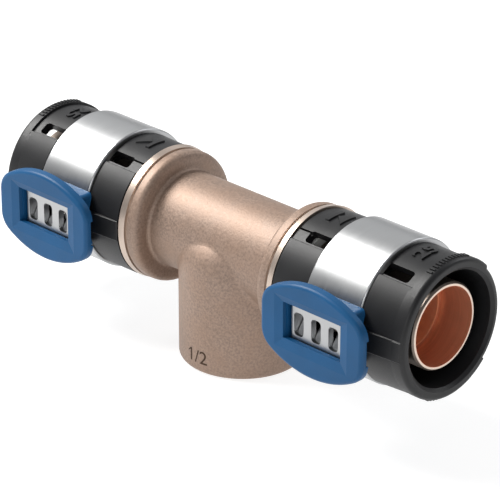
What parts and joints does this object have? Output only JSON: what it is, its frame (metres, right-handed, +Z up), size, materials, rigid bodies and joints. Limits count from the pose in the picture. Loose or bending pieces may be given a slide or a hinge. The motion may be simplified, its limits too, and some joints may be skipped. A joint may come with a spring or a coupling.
{
  "type": "press fit tee fitting",
  "caption": "Press tee for multilayer pipe: bronze body, straight run with press ends, threaded branch, steel press sleeves, black collars and blue press indicators.",
  "frame": {"origin": "centre of the branch's end face", "axes": "+X along the run, +Z up along the branch towards the run, +Y away from the sleeves' ears"},
  "size_m": [0.12, 0.0382, 0.043],
  "materials": {
    "bronze": "sand-cast",
    "stainless": "brushed",
    "black_plastic": "satin",
    "blue_plastic": "satin",
    "washer": "matte",
    "rubber": "matte"
  },
  "bodies": {
    "root": {"tee_body": "bronze", "inner_collar_right": "black_plastic", "outer_collar_right": "black_plastic", "press_sleeve_right": "stainless", "press_indicator_right": "blue_plastic", "isolating_washer_right": "washer", "inner_o_ring_right": "rubber", "outer_o_ring_right": "rubber", "inner_collar_left": "black_plastic", "outer_collar_left": "black_plastic", "press_sleeve_left": "stainless", "press_indicator_left": "blue_plastic", "isolating_washer_left": "washer", "inner_o_ring_left": "rubber", "outer_o_ring_left": "rubber"}
  },
  "joints": []
}
